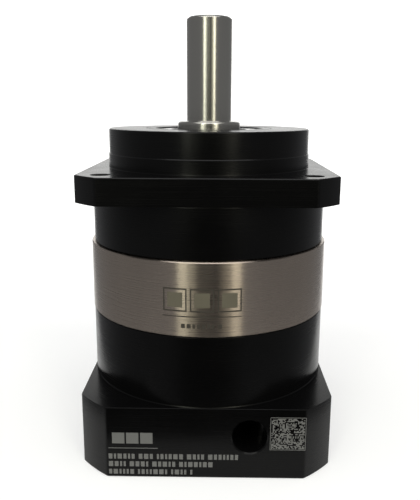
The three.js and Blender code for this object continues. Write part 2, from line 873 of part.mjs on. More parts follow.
// Lip seal: a stiff outer case, a web, and a lip that rides on the shaft, open towards the bearing below.
function lipSeal(shaftSurface, outerRadius, bottom, height) {
  const lip = flatsAt(shaftSurface + sealLipGap, boreSides);
  const top = bottom + height;
  const web = top - sealWebShare * height;
  const lipThickness = sealWallShare * (outerRadius - lip);
  return turned([
    [outerRadius - lipThickness, bottom],
    [outerRadius, bottom],
    [outerRadius, top],
    [lip + sealLipHeight, top],
    [lip, top - sealLipHeight],
    [lip, bottom + sealSpringGap],
    [lip + lipThickness, bottom + sealSpringGap],
    [lip + lipThickness, web],
    [outerRadius - lipThickness, web],
  ]);
}

function addSeals() {
  const output = lipSeal(collarRadius, outputSealRadius, outputSealBottom, outputSealHeight);
  const input = lipSeal(inputLandRadius, inputSealRadius, inputSealBottom, inputSealHeight);
  addPiece("output_oil_seal", output, sealRubber);
  addPiece("input_oil_seal", input, sealRubber);
}

function addORings() {
  const section = circlePoints(oRingSection, oRingSides);
  const rise = oRingSection + faceGap / 2;
  const front = turned(
    section.map(([r, z]) => [oRingRadius + r, ringGearTop + rise + z]),
    casingSides,
  );
  const rear = turned(
    section.map(([r, z]) => [oRingRadius + r, ringGearBottom - rise + z]),
    casingSides,
  );
  addPiece("front_o_ring", front, sealRubber);
  addPiece("rear_o_ring", rear, sealRubber);
}

function addStackScrews() {
  stackScrewPlaces.forEach(({ x, y }, i) => {
    const seat = stackScrewSeat - faceGap;
    const head = rod(x, y, stackHeadRadius, seat - stackHeadHeight, seat);
    const shank = rod(x, y, stackScrewRadius, seat - 0.5, seat + stackScrewLength, shankSides);
    const bottom = seat - stackHeadHeight;
    const socket = rod(x, y, socketRadius, bottom - 1, bottom + socketDepth, hexagonSides);
    addPiece(`stack_screw_${i + 1}`, head.add(shank).subtract(socket), screwSteel);
  });
}

function addDowels() {
  const half = dowelLength / 2;
  const joints = { front: ringGearTop, rear: ringGearBottom };
  for (const [side, height] of Object.entries(joints)) {
    dowelPlaces.forEach(({ x, y }, i) => {
      const pin = rod(x, y, dowelRadius, height - half, height + half, shankSides);
      addPiece(`${side}_dowel_${i + 1}`, pin, groundSteel);
    });
  }
}

addFrontHousing();
addRingGear();
addMotorAdapter();
addStackScrews();
addDowels();
addORings();
addOutputShaft();
addCarrierRearPlate();
addCarrierScrews();
addPlanets();
addBallBearing("output_front_bearing", outputBearing, frontBearingBottom);
addBallBearing("output_rear_bearing", outputBearing, rearBearingBottom);
addBearingSpacers();
addInputShaft();
addBallBearing("input_bearing", inputBearing, inputBearingBottom);
addClampRing();
addClampScrew();
addCirclips();
addSeals();

export default gearbox;
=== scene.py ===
"""Looks for the planetary gearbox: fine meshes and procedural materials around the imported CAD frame."""

import json
import math
import random

import bmesh
import bpy
from mathutils import Matrix, Vector
from mathutils.geometry import tessellate_polygon


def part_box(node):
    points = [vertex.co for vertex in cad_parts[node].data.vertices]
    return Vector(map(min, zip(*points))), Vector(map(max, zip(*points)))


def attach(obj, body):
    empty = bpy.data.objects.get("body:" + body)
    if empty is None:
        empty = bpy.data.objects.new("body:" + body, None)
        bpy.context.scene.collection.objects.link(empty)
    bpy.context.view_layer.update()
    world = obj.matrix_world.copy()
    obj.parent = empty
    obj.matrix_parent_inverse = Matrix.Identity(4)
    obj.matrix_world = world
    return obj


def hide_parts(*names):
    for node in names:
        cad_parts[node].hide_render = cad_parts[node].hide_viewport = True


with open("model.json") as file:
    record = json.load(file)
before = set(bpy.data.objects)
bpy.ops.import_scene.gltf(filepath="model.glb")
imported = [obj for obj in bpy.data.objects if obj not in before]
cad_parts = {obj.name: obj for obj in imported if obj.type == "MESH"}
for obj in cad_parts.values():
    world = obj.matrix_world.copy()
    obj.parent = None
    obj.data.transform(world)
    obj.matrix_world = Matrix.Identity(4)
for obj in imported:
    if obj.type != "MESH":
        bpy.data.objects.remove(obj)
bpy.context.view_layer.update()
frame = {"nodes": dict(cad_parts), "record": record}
nodes = frame["nodes"]

MM = 0.001
HOUSING = "housing"
OUTPUT = "output_shaft_and_carrier"
INPUT = "input_shaft_and_clamp"

# ---------------------------------------------------------------- sizes, in millimetres

FINE = 192  # points round a casing
MEDIUM = 96  # points round a shaft or a bearing seat
SMALL = 40  # points round a screw or a hole
HEXAGON = 6  # points round a screw's socket


def span(node):
    """Lowest and highest corners of a CAD node, in millimetres."""
    low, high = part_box(node)
    return low / MM, high / MM


housing_low, housing_high = span("front_housing")
ring_low, ring_high = span("ring_gear")
_, adapter_high = span("motor_adapter")
shaft_low, shaft_high = span("output_shaft")
seal_low, seal_high = span("output_oil_seal")

# Outside, from the frame where its box gives the size, and otherwise as in the CAD.
MARK_ROOM = 0.03  # taken off the ring, so that its etched marks stay within the CAD box
PILOT_TOP = housing_high.z
FLANGE_HALF = housing_high.x
ADAPTER_HALF = adapter_high.x
RING_RADIUS = ring_high.x - MARK_ROOM
SHAFT_TOP = shaft_high.z
FLANGE_CORNER_RADIUS = 57.9
ADAPTER_CORNER_RADIUS = 57.75
UPPER_BODY_RADIUS = 44.8
LOWER_BODY_RADIUS = 45.7
REGISTER_RADIUS = 38.5
PILOT_RADIUS = 38.24
FLANGE_BOTTOM = 97.8
FLANGE_TOP = 107.3
REGISTER_TOP = 112.6
ADAPTER_SQUARE_TOP = 26.8
SHAFT_RADIUS = 8.56
COLLAR_RADIUS = 12
COLLAR_TOP = 124.3

# Edges and thin turned lines, which are finer than the CAD.
BODY_CHAMFER = 0.35
RING_CHAMFER = 0.3
SHARP_BEVEL = 0.07  # where two machined faces meet almost sharp
FLANGE_BEVEL = 0.3
ADAPTER_FOOT_BEVEL = 0.15
FLANGE_HOLE_EDGE = 0.25
FACE_GROOVE_OUTER = 24.4
FACE_GROOVE_INNER = 23.4
FACE_GROOVE_DEPTH = 0.35
FACE_GROOVE_SLOPE = 0.3
FOOT_GROOVE_DEPTH = 0.2

# Holes.
FLANGE_HOLE_OFFSET = 36
FLANGE_HOLE_RADIUS = 3.3
MOTOR_HOLE_OFFSET = 31.8
MOTOR_HOLE_RADIUS = 2.6
MOTOR_HOLE_DEPTH = 16
STACK_CIRCLE = 41.2
STACK_SCREWS = 6
STACK_SHANK_HOLE = 2.25
STACK_COUNTERBORE = 3.8
STACK_SEAT = 22
STACK_HOLE_TOP = 92
DOWEL_HOLE = 2.1
DOWEL_REACH = 4.7
FACE_GAP = 0.2  # along the axis, between faces that meet
ACCESS_X = 15.6
ACCESS_Z = 16
ACCESS_RADIUS = 6.25
ACCESS_BEVEL = 0.45
ACCESS_END = -18

# Hollows and seats, from the motor face up.
O_RING_INNER = 37.25
O_RING_OUTER = 38.75
O_RING_DEPTH = 1.5
CIRCLIP_DEPTH = 0.8
CIRCLIP_HEIGHT = 1.6
MOTOR_PILOT_RADIUS = 35
MOTOR_PILOT_DEPTH = 5
CLAMP_CAVITY_RADIUS = 25
CLAMP_CAVITY_TOP = 24
INPUT_SEAL_BORE = 19.2
INPUT_BEARING_BORE = 23.7
INPUT_SHAFT_SEAT = 12.4
INPUT_BEARING_BOTTOM = 29.8
INPUT_BEARING_TOP = 42
INPUT_CIRCLIP_TOP = INPUT_BEARING_TOP + CIRCLIP_HEIGHT
INPUT_BORE_TOP = 46.4
GEAR_CAVITY_RADIUS = 30
OUTPUT_BEARING_BORE = 27.7
OUTPUT_SHAFT_SEAT = 14.9
REAR_BEARING_BOTTOM = 82.4
FRONT_BEARING_TOP = 111.5
OUTPUT_SEAL_RADIUS = 20
OUTPUT_SEAL_BORE = 20.2

# Gears and carrier.
GEAR_MODULE = 1
SUN_TEETH = 12
RING_TEETH = 72
PRESSURE_ANGLE = math.radians(25)
ADDENDUM = 0.85
DEDENDUM = 1.15
FLANK_CLEARANCE = 0.06
FLANK_POINTS = (0, 0.65, 1.35, 2)  # beyond a tooth's inner end
PLANETS = 3
ORBIT_RADIUS = 21
PIN_HOLE = 4.1
CARRIER_RADIUS = 34
CARRIER_BEVEL = 0.4
CARRIER_BOTTOM = 74
CARRIER_TOP = 79
HUB_RADIUS = 18
POST_OFFSET = 28
POST_RADIUS = 5.5
POST_BEVEL = 0.3
POST_SCREW_HOLE = 2.25
POST_SCREW_DEPTH = 8.2
SUN_NECK_RADIUS = 4.75
SUN_NECK_BOTTOM = 57.8
SUN_TEETH_BOTTOM = 59.4

# Clamp.
CLAMP_TUBE_RADIUS = 11
MOTOR_SHAFT_RADIUS = 8
MOTOR_SHAFT_DEPTH = 33.5
CLAMP_BORE = 11.1
CLAMP_RING_RADIUS = 22
CLAMP_RING_BEVEL = 0.5
CLAMP_SLOT_HALF = 1
CLAMP_SLIT_HALF = 0.75
CLAMP_SHANK_HOLE = 2.75
CLAMP_HEAD_POCKET = 4.5
CLAMP_HEAD_SEAT = 7.5

# ---------------------------------------------------------------- mesh building


def circle(radius, height, count=FINE, centre=(0, 0)):
    x, y = centre
    angles = [2 * math.pi / count * i for i in range(count)]
    return [Vector((x + radius * math.cos(a), y + radius * math.sin(a), height)) for a in angles]


def rounded(profile, corner, radius, steps):
    """The profile with one corner, given by its index, replaced by an arc-like curve."""
    before, here, after = (Vector(profile[corner + i]) for i in (-1, 0, 1))
    start = here + (before - here).normalized() * radius
    end = here + (after - here).normalized() * radius
    curve = []
    for i in range(steps + 1):
        t = i / steps
        point = start * (1 - t) ** 2 + here * (2 * t * (1 - t)) + end * t**2
        curve.append(tuple(point))
    return profile[:corner] + curve + profile[corner + 1 :]


def bevelled(radius, bottom, top, bevel):
    """Profile of a wall whose two edges are bevelled."""
    return [
        (radius - bevel, bottom),
        (radius, bottom + bevel),
        (radius, top - bevel),
        (radius - bevel, top),
    ]


def groove(radius, start, end, depth):
    """Profile of a square groove. Its depth is negative when it runs round a shaft."""
    return [(radius, start), (radius + depth, start), (radius + depth, end), (radius, end)]


class Skin:
    """One surface, put together from loops of points in millimetres."""

    def __init__(self):
        self.points = []
        self.faces = []

    def loop(self, points):
        first = len(self.points)
        self.points.extend(points)
        return list(range(first, first + len(points)))

    def band(self, lower, upper):
        count = len(lower)
        for i in range(count):
            j = (i + 1) % count
            self.faces.append((lower[i], lower[j], upper[j], upper[i]))

    def cap(self, outline, holes=()):
        """Fills a flat outline, leaving its holes open."""
        loops = [outline, *holes]
        order = [index for loop in loops for index in loop]
        polygons = [[self.points[index] for index in loop] for loop in loops]
        for triangle in tessellate_polygon(polygons):
            self.faces.append(tuple(order[corner] for corner in triangle))

    def stack(self, outlines):
        """Joins outlines of equal length one after the other, and returns the first and last loops."""
        loops = [self.loop(points) for points in outlines]
        for lower, upper in zip(loops, loops[1:]):
            self.band(lower, upper)
        return loops[0], loops[-1]

    def turn(self, profile, count=FINE, centre=(0, 0)):
        """Turns (radius, height) points about a vertical axis, and returns the first and last loops."""
        return self.stack([circle(radius, height, count, centre) for radius, height in profile])

    def bore(self, centre, radius, start, end, edge=0.0):
        """The wall of a straight hole, with both mouths bevelled, as its two end loops."""
        way = 1 if end > start else -1
        profile = [(radius, start), (radius, end)]
        if edge:
            profile = [
                (radius + edge, start),
                (radius, start + way * edge),
                (radius, end - way * edge),
                (radius + edge, end),
            ]
        return self.turn(profile, SMALL, centre)

    def blind_bore(self, centre, radius, start, end, count=SMALL, edge=0.0):
        """A closed-ended hole with its mouth bevelled, as the loop of its mouth."""
        way = 1 if end > start else -1
        profile = [(radius, start), (radius, end)]
        if edge:
            profile = [(radius + edge, start), (radius, start + way * edge), (radius, end)]
        mouth, floor = self.turn(profile, count, centre)
        self.cap(floor)
        return mouth

    def mesh(self, name):
        data = bpy.data.meshes.new(name)
        data.from_pydata([point * MM for point in self.points], [], self.faces)
        work = bmesh.new()
        work.from_mesh(data)
        bmesh.ops.remove_doubles(work, verts=work.verts, dist=1e-7)
        bmesh.ops.recalc_face_normals(work, faces=work.faces)
        work.to_mesh(data)
        work.free()
        return data


def smooth(data):
    """Smooth shading, with a sharp edge wherever two faces meet at more than a slight angle."""
    data.polygons.foreach_set("use_smooth", [True] * len(data.polygons))
    data.set_sharp_from_angle(angle=math.radians(28))


def object_from(skin, name, material):
    data = skin.mesh(name)
    smooth(data)
    data.materials.append(material)
    piece = bpy.data.objects.new(name, data)
    bpy.context.scene.collection.objects.link(piece)
    return piece


def even_shading(piece):
    """Lets the large faces set the normals, so that a narrow bevel doesn't bend their shading."""
    weights = piece.modifiers.new("even_shading", "WEIGHTED_NORMAL")
    weights.keep_sharp = True


def solid_of(profile, count, name):
    """A closed turned solid whose profile starts and ends on the axis."""
    skin = Skin()
    bottom, top = skin.turn(profile, count)
    skin.cap(bottom)
    skin.cap(top)
    return bpy.data.objects.new(name, skin.mesh(name))


def cut_away(piece, cutters, operation="DIFFERENCE"):
    """Cuts solids out of a piece, or joins them to it, and leaves a plain mesh."""
    scene = bpy.context.scene.collection
    for cutter in cutters:
        scene.objects.link(cutter)
        boolean = piece.modifiers.new("cut", "BOOLEAN")
        boolean.operation = operation
        boolean.solver = "EXACT"
        boolean.object = cutter
    bpy.context.view_layer.update()
    graph = bpy.context.evaluated_depsgraph_get()
    result = bpy.data.meshes.new_from_object(piece.evaluated_get(graph))
    piece.modifiers.clear()
    piece.data = result
    for cutter in cutters:
        bpy.data.objects.remove(cutter)
    smooth(result)
    return piece


def slab(low, high, name):
    """A box-shaped cutter between two corners."""
    skin = Skin()
    corners = [(low[0], low[1]), (high[0], low[1]), (high[0], high[1]), (low[0], high[1])]
    bottom, top = skin.stack([[Vector((x, y, height)) for x, y in corners] for height in (low[2], high[2])])
    skin.cap(bottom)
    skin.cap(top)
    return bpy.data.objects.new(name, skin.mesh(name))


def along_y(piece, x, z):
    """Turns a piece modelled up the Z axis to point along +Y through (x, z)."""
    for vertex in piece.data.vertices:
        height = vertex.co.z
        vertex.co.z = z * MM - vertex.co.y
        vertex.co.y = height
        vertex.co.x += x * MM
    return piece


def crease(corner, backwards, forwards, easing):
    """Three points that round a crease between two directions leaving it."""
    before = corner + backwards.normalized() * easing
    after = corner + forwards.normalized() * easing
    middle = before * 0.25 + corner * 0.5 + after * 0.25
    return [before, middle, after]


def turned_square(half, corner_radius, height, inset=0.0):
    """A square outline with its corners turned to a circle and its eight creases eased."""
    easing, steps = 0.45, 14
    half -= inset
    corner_radius -= inset
    quarter = math.pi / 2
    reach = math.acos(half / corner_radius)
    points = []
    for corner in range(4):
        first, last = corner * quarter, (corner + 1) * quarter
        start, end = first + reach, last - reach
        arc = []
        for i in range(steps + 1):
            angle = start + (end - start) * i / steps
            arc.append(Vector((corner_radius * math.cos(angle), corner_radius * math.sin(angle), height)))
        back_along_side = Vector((math.sin(first), -math.cos(first), 0))
        on_along_side = Vector((-math.sin(last), math.cos(last), 0))
        points += crease(arc[0], back_along_side, arc[1] - arc[0], easing)
        points += arc[1:-1]
        points += crease(arc[-1], arc[-2] - arc[-1], on_along_side, easing)
    return points


def squared_wall(skin, half, corner_radius, bottom, top, lower_bevel, upper_bevel):
    """The sides of a square plate with turned corners, as its lowest and highest outlines."""
    return skin.stack(
        [
            turned_square(half, corner_radius, bottom, lower_bevel),
            turned_square(half, corner_radius, bottom + lower_bevel),
            turned_square(half, corner_radius, top - upper_bevel),
            turned_square(half, corner_radius, top, upper_bevel),
        ]
    )


def square_places(offset):
    return [(offset, offset), (-offset, offset), (-offset, -offset), (offset, -offset)]


def circle_places(radius, count, first_angle=0.0):
    angles = [first_angle + 2 * math.pi * i / count for i in range(count)]
    return [(radius * math.cos(a), radius * math.sin(a)) for a in angles]


STACK_PLACES = circle_places(STACK_CIRCLE, STACK_SCREWS, math.radians(30))
DOWEL_PLACES = circle_places(STACK_CIRCLE, 2)


# ---------------------------------------------------------------- materials


def set_range(node, *limits):
    """Sets the two input limits and the two output limits of a Map Range node."""
    for name, limit in zip(("From Min", "From Max", "To Min", "To Max"), limits):
        node.inputs[name].default_value = limit


class Nodes:
    """Short names for building a node tree."""

    def __init__(self, name, base, roughness, metallic):
        self.material = bpy.data.materials.new(name)
        self.material.use_nodes = True
        self.tree = self.material.node_tree
        self.shader = self.tree.nodes["Principled BSDF"]
        self.set("Base Color", (*base, 1))
        self.set("Roughness", roughness)
        self.set("Metallic", metallic)
        self.position = self.add("ShaderNodeTexCoord").outputs["Object"]

    def set(self, socket, value):
        self.shader.inputs[socket].default_value = value

    def add(self, kind, **settings):
        node = self.tree.nodes.new(kind)
        for key, value in settings.items():
            setattr(node, key, value)
        return node

    def link(self, source, target):
        self.tree.links.new(source, target)

    def math(self, operation, first, second=None, third=None):
        node = self.add("ShaderNodeMath", operation=operation)
        for socket, value in zip(node.inputs, (first, second, third)):
            if value is None:
                continue
            if isinstance(value, (int, float)):
                socket.default_value = value
            else:
                self.link(value, socket)
        return node.outputs[0]

    def split(self, vector):
        """A vector's outputs X, Y and Z."""
        node = self.add("ShaderNodeSeparateXYZ")
        self.link(vector, node.inputs[0])
        return node.outputs

    def stretched(self, scale):
        """The position in the object, scaled by a different amount along each axis."""
        node = self.add("ShaderNodeMapping")
        node.inputs["Scale"].default_value = scale
        self.link(self.position, node.inputs["Vector"])
        return node.outputs["Vector"]

    def noise(self, vector, scale, detail=3.0, roughness=0.55):
        node = self.add("ShaderNodeTexNoise")
        node.inputs["Scale"].default_value = scale
        node.inputs["Detail"].default_value = detail
        node.inputs["Roughness"].default_value = roughness
        self.link(vector, node.inputs["Vector"])
        return node.outputs["Fac"]

    def radius_field(self):
        """How far a point lies from the object's axis, as a vector that only changes with radius."""
        parts = self.split(self.position)
        squares = [self.math("MULTIPLY", parts[axis], parts[axis]) for axis in ("X", "Y")]
        combine = self.add("ShaderNodeCombineXYZ")
        self.link(self.math("SQRT", self.math("ADD", *squares)), combine.inputs["X"])
        return combine.outputs[0]

    def level(self, value, low, high, out_low, out_high):
        """Maps the range low to high onto the range out_low to out_high."""
        node = self.add("ShaderNodeMapRange")
        set_range(node, low, high, out_low, out_high)
        self.link(value, node.inputs["Value"])
        return node.outputs["Result"]

    def colour(self, amount, first, second):
        """Base colour between two tones."""
        node = self.add("ShaderNodeMix", data_type="RGBA")
        factor, first_tone, second_tone = node.inputs[0], node.inputs[6], node.inputs[7]
        first_tone.default_value = (*first, 1)
        second_tone.default_value = (*second, 1)
        self.link(amount, factor)
        self.link(node.outputs[2], self.shader.inputs["Base Color"])

    def from_noise(self, noise, out_low, out_high):
        """A value that follows a noise, which mostly lies between 0.3 and 0.7."""
        return self.level(noise, 0.3, 0.7, out_low, out_high)

    def roughness(self, value):
        self.link(value, self.shader.inputs["Roughness"])

    def bump(self, height, distance):
        node = self.add("ShaderNodeBump")
        node.inputs["Distance"].default_value = distance
        node.inputs["Strength"].default_value = 1.0
        self.link(height, node.inputs["Height"])
        self.link(node.outputs["Normal"], self.shader.inputs["Normal"])

    def lathe_marks(self):
        """Fine tool marks: rings round upright walls, and rings about the axis on level faces."""
        upright = self.noise(self.stretched((6, 6, 900)), 4.0, 4.0, 0.6)
        rings = self.noise(self.radius_field(), 3200.0, 3.0, 0.6)
        normal = self.add("ShaderNodeNewGeometry").outputs["Normal"]
        level_face = self.math("ABSOLUTE", self.split(normal)["Z"])
        mix = self.add("ShaderNodeMix", data_type="FLOAT")
        for source, socket in ((level_face, 0), (upright, 2), (rings, 3)):
            self.link(source, mix.inputs[socket])
        return mix.outputs[0]


def shade(tone, share):
    """A colour made darker, or lighter up to white, by a share."""
    return tuple(min(1, share * channel) for channel in tone)


def black_anodised():
    n = Nodes("black_anodised", (0.0025, 0.0025, 0.0027), 0.25, 0.0)
    marks = n.lathe_marks()
    cloud = n.noise(n.position, 60.0, 4.0)
    n.colour(cloud, (0.0018, 0.0018, 0.002), (0.0032, 0.0031, 0.0033))
    blotch = n.from_noise(cloud, -0.03, 0.03)
    n.roughness(n.math("ADD", n.from_noise(marks, 0.19, 0.3), blotch))
    n.set("IOR", 1.22)  # a low one, for the deep black of the dyed film
    n.bump(marks, 0.000004)
    return n.material


def brushed_steel(name, base, low_rough, high_rough, anisotropy, depth):
    n = Nodes(name, base, low_rough, 1.0)
    brush = n.noise(n.stretched((12, 12, 5200)), 3.0, 4.0, 0.6)
    cloud = n.noise(n.stretched((60, 60, 4)), 2.0, 3.0)  # changes round the piece and hardly along it
    tone = n.math("MULTIPLY_ADD", cloud, 0.65, n.math("MULTIPLY", brush, 0.35))
    n.colour(tone, shade(base, 0.86), shade(base, 1.08))
    n.roughness(n.from_noise(brush, low_rough, high_rough))
    n.set("Anisotropic", anisotropy)
    n.set("Anisotropic Rotation", 0.25)  # the brushing runs round the axis, so light spreads along it
    tangent = n.add("ShaderNodeTangent", direction_type="RADIAL", axis="Z")
    n.link(tangent.outputs[0], n.shader.inputs["Tangent"])
    n.bump(brush, depth)
    return n.material


def machined_steel(name, base, roughness):
    n = Nodes(name, base, roughness, 1.0)
    marks = n.lathe_marks()
    cloud = n.noise(n.position, 120.0, 4.0)
    n.colour(cloud, shade(base, 0.85), base)
    n.roughness(n.from_noise(marks, roughness - 0.06, roughness + 0.06))
    n.bump(marks, 0.000005)
    return n.material


def black_oxide():
    n = Nodes("black_oxide", (0.03, 0.03, 0.033), 0.42, 0.6)
    cloud = n.noise(n.position, 400.0, 5.0)
    n.colour(cloud, (0.02, 0.02, 0.022), (0.045, 0.043, 0.042))
    n.roughness(n.from_noise(cloud, 0.36, 0.5))
    n.bump(cloud, 0.00001)
    return n.material


def seal_rubber():
    n = Nodes("seal_rubber", (0.012, 0.012, 0.012), 0.6, 0.0)
    grain = n.noise(n.position, 900.0, 4.0)
    n.colour(grain, (0.008, 0.008, 0.008), (0.02, 0.02, 0.02))
    n.roughness(n.from_noise(grain, 0.5, 0.7))
    n.bump(grain, 0.00003)
    return n.material


def etched_mark(name, base):
    """Laser marking: a matt grey film with the fine hatch of the beam."""
    n = Nodes(name, base, 0.6, 0.0)
    hatch = n.noise(n.stretched((300, 300, 5000)), 2.0, 2.0)
    n.colour(hatch, shade(base, 0.7), base)
    n.roughness(n.from_noise(hatch, 0.5, 0.7))
    n.bump(hatch, 0.000006)
    return n.material


ANODISED = black_anodised()
RING_STEEL = brushed_steel("brushed_ring_steel", (0.35, 0.297, 0.252), 0.24, 0.31, 1.0, 0.0000015)
SHAFT_STEEL = brushed_steel("ground_steel", (0.36, 0.35, 0.325), 0.21, 0.27, 0.6, 0.0000003)
GEAR_STEEL = machined_steel("gear_steel", (0.34, 0.34, 0.35), 0.35)
BEARING_STEEL = machined_steel("bearing_steel", (0.62, 0.62, 0.63), 0.2)
SEAL_CASE_STEEL = machined_steel("seal_case_steel", (0.6, 0.6, 0.6), 0.14)
SPRING_STEEL = machined_steel("spring_steel", (0.13, 0.11, 0.1), 0.45)
SCREW_STEEL = black_oxide()
RUBBER = seal_rubber()
DARK_MARK = etched_mark("etched_mark_dark", (0.05, 0.043, 0.034))
FILL_MARK = etched_mark("etched_mark_fill", (0.15, 0.135, 0.1))
LIGHT_MARK = etched_mark("etched_mark_light", (0.17, 0.17, 0.17))

SLOT_MATERIALS = {
    "anodised_black": ANODISED,
    "brushed_ring_steel": RING_STEEL,
    "ground_steel": SHAFT_STEEL,
    "gear_steel": GEAR_STEEL,
    "bearing_steel": BEARING_STEEL,
    "spring_steel": SPRING_STEEL,
    "screw_steel": SCREW_STEEL,
    "seal_rubber": RUBBER,
}


def finish_cad_nodes():
    """Gives every carried-over CAD node the material of its slot."""
    for row in frame["record"]["subparts"]:
        data = nodes[row["node"]].data
        data.materials.clear()
        data.materials.append(SLOT_MATERIALS[row["material_slot"]])


def place(piece, body, replaced=()):
    """Rides a finished piece on its body, in place of any CAD nodes that it stands for."""
    even_shading(piece)
    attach(piece, body)
    if replaced:
        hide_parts(*replaced)


# ---------------------------------------------------------------- casings


def plain_holes(skin, places, radius, start, end, edge=0.0):
    """Straight holes, as their two lists of mouths."""
    ends = [skin.bore(spot, radius, start, end, edge) for spot in places]
    return [mouth for mouth, _ in ends], [mouth for _, mouth in ends]


def blind_holes(skin, places, radius, start, end, edge=0.0):
    """Closed-ended holes, as the list of their mouths."""
    return [skin.blind_bore(spot, radius, start, end, SMALL, edge) for spot in places]


def o_ring_groove(skin, face, floor):
    """A square groove in a flat face, as its inner and outer edges."""
    inner, outer = O_RING_INNER, O_RING_OUTER
    return skin.turn([(inner, face), (inner, floor), (outer, floor), (outer, face)])


def build_front_housing():
    skin = Skin()
    bottom = housing_low.z
    groove_inner, groove_outer = o_ring_groove(skin, bottom, bottom + O_RING_DEPTH)

    # The body's wall, with a fine turned line where it meets the flange.
    line_radius = UPPER_BODY_RADIUS - 0.13
    wall_bottom, wall_top = skin.turn(
        [
            (UPPER_BODY_RADIUS - BODY_CHAMFER, bottom),
            (UPPER_BODY_RADIUS, bottom + BODY_CHAMFER),
            (UPPER_BODY_RADIUS, FLANGE_BOTTOM - 0.5),
            (line_radius, FLANGE_BOTTOM - 0.05),
            (line_radius, FLANGE_BOTTOM),
        ]
    )
    dowel_end = bottom + DOWEL_REACH - FACE_GAP
    holes = blind_holes(skin, STACK_PLACES, STACK_SHANK_HOLE, bottom, STACK_HOLE_TOP)
    holes += blind_holes(skin, DOWEL_PLACES, DOWEL_HOLE, bottom, dowel_end)
    skin.cap(wall_bottom, [groove_outer, *holes])

    # The flange.
    places = square_places(FLANGE_HOLE_OFFSET)
    heights = (FLANGE_BOTTOM, FLANGE_TOP)
    under, over = plain_holes(skin, places, FLANGE_HOLE_RADIUS, *heights, FLANGE_HOLE_EDGE)
    flange_bottom, flange_top = squared_wall(
        skin, FLANGE_HALF, FLANGE_CORNER_RADIUS, *heights, SHARP_BEVEL, FLANGE_BEVEL
    )
    skin.cap(flange_bottom, [wall_top, *under])

    # Register, pilot, the face with its shallow turned groove, and the bore from the top down.
    seal_floor = FRONT_BEARING_TOP + FACE_GAP
    groove_floor = PILOT_TOP - FACE_GROOVE_DEPTH
    bore = OUTPUT_BEARING_BORE
    circlip_bottom = REAR_BEARING_BOTTOM - CIRCLIP_HEIGHT
    base, mouth = skin.turn(
        [
            (REGISTER_RADIUS + 0.35, FLANGE_TOP),
            (REGISTER_RADIUS + 0.1, FLANGE_TOP + 0.1),
            (REGISTER_RADIUS, FLANGE_TOP + 0.35),
            (REGISTER_RADIUS, REGISTER_TOP - 0.25),
            (REGISTER_RADIUS - 0.12, REGISTER_TOP - 0.12),
            (PILOT_RADIUS, REGISTER_TOP + 0.05),
            (PILOT_RADIUS, PILOT_TOP - 0.55),
            (PILOT_RADIUS - 0.06, PILOT_TOP - 0.32),
            (PILOT_RADIUS - 0.25, PILOT_TOP - 0.1),
            (PILOT_RADIUS - 0.5, PILOT_TOP),
            (FACE_GROOVE_OUTER, PILOT_TOP),
            (FACE_GROOVE_OUTER - FACE_GROOVE_SLOPE, groove_floor),
            (FACE_GROOVE_INNER + FACE_GROOVE_SLOPE, groove_floor),
            (FACE_GROOVE_INNER, PILOT_TOP),
            (OUTPUT_SEAL_BORE + 0.75, PILOT_TOP),
            (OUTPUT_SEAL_BORE, PILOT_TOP - 0.7),
            (OUTPUT_SEAL_BORE, seal_floor),
            (bore, seal_floor),
            *groove(bore, REAR_BEARING_BOTTOM, circlip_bottom, CIRCLIP_DEPTH),
            (bore, bottom + 0.3),
            (bore + 0.3, bottom),
        ]
    )
    skin.cap(flange_top, [base, *over])
    skin.cap(groove_inner, [mouth])
    piece = object_from(skin, "front_housing_casting", ANODISED)
    place(piece, HOUSING, ["front_housing"])


def tooth_outline(teeth, inner_radius, widening, turn, height):
    """Involute outline of a gear, or of an internal gear's hollow, turned from the X axis."""
    pitch_radius = GEAR_MODULE * teeth / 2
    base_radius = pitch_radius * math.cos(PRESSURE_ANGLE)
    pitch_half = math.pi / (2 * teeth) + widening / pitch_radius
    flank = []
    for step in FLANK_POINTS:
        radius = inner_radius + step
        slope = math.acos(min(1, base_radius / radius))
        half = pitch_half + math.tan(PRESSURE_ANGLE) - PRESSURE_ANGLE - (math.tan(slope) - slope)
        flank.append((radius, half))
    points = []
    for tooth in range(teeth):
        middle = turn + 2 * math.pi * tooth / teeth
        rising = [(radius, middle - half) for radius, half in flank]
        falling = [(radius, middle + half) for radius, half in reversed(flank)]
        for radius, angle in rising + falling:
            points.append(Vector((radius * math.cos(angle), radius * math.sin(angle), height)))
    return points


def build_ring_gear():
    skin = Skin()
    bottom, top = ring_low.z, ring_high.z
    wall_bottom, wall_top = skin.turn(bevelled(RING_RADIUS, bottom, top, RING_CHAMFER))
    inner = GEAR_MODULE * RING_TEETH / 2 - ADDENDUM
    teeth_bottom, teeth_top = skin.stack(
        [tooth_outline(RING_TEETH, inner, FLANK_CLEARANCE, 0, height) for height in (bottom, top)]
    )
    under, over = plain_holes(skin, STACK_PLACES, STACK_SHANK_HOLE, bottom, top)
    under += blind_holes(skin, DOWEL_PLACES, DOWEL_HOLE, bottom, bottom + DOWEL_REACH)
    over += blind_holes(skin, DOWEL_PLACES, DOWEL_HOLE, top, top - DOWEL_REACH)
    skin.cap(wall_bottom, [teeth_bottom, *under])
    skin.cap(wall_top, [teeth_top, *over])
    piece = object_from(skin, "ring_gear_sleeve", RING_STEEL)
    place(piece, HOUSING, ["ring_gear"])


def stack_screw_holes(skin, top):
    """Counterbored holes from the motor face, as the mouths of their heads and of their shanks."""
    edge = 0.2
    profile = [
        (STACK_COUNTERBORE + edge, 0),
        (STACK_COUNTERBORE, edge),
        (STACK_COUNTERBORE, STACK_SEAT),
        (STACK_SHANK_HOLE, STACK_SEAT),
        (STACK_SHANK_HOLE, top),
    ]
    ends = [skin.turn(profile, SMALL, spot) for spot in STACK_PLACES]
    return [mouth for mouth, _ in ends], [mouth for _, mouth in ends]


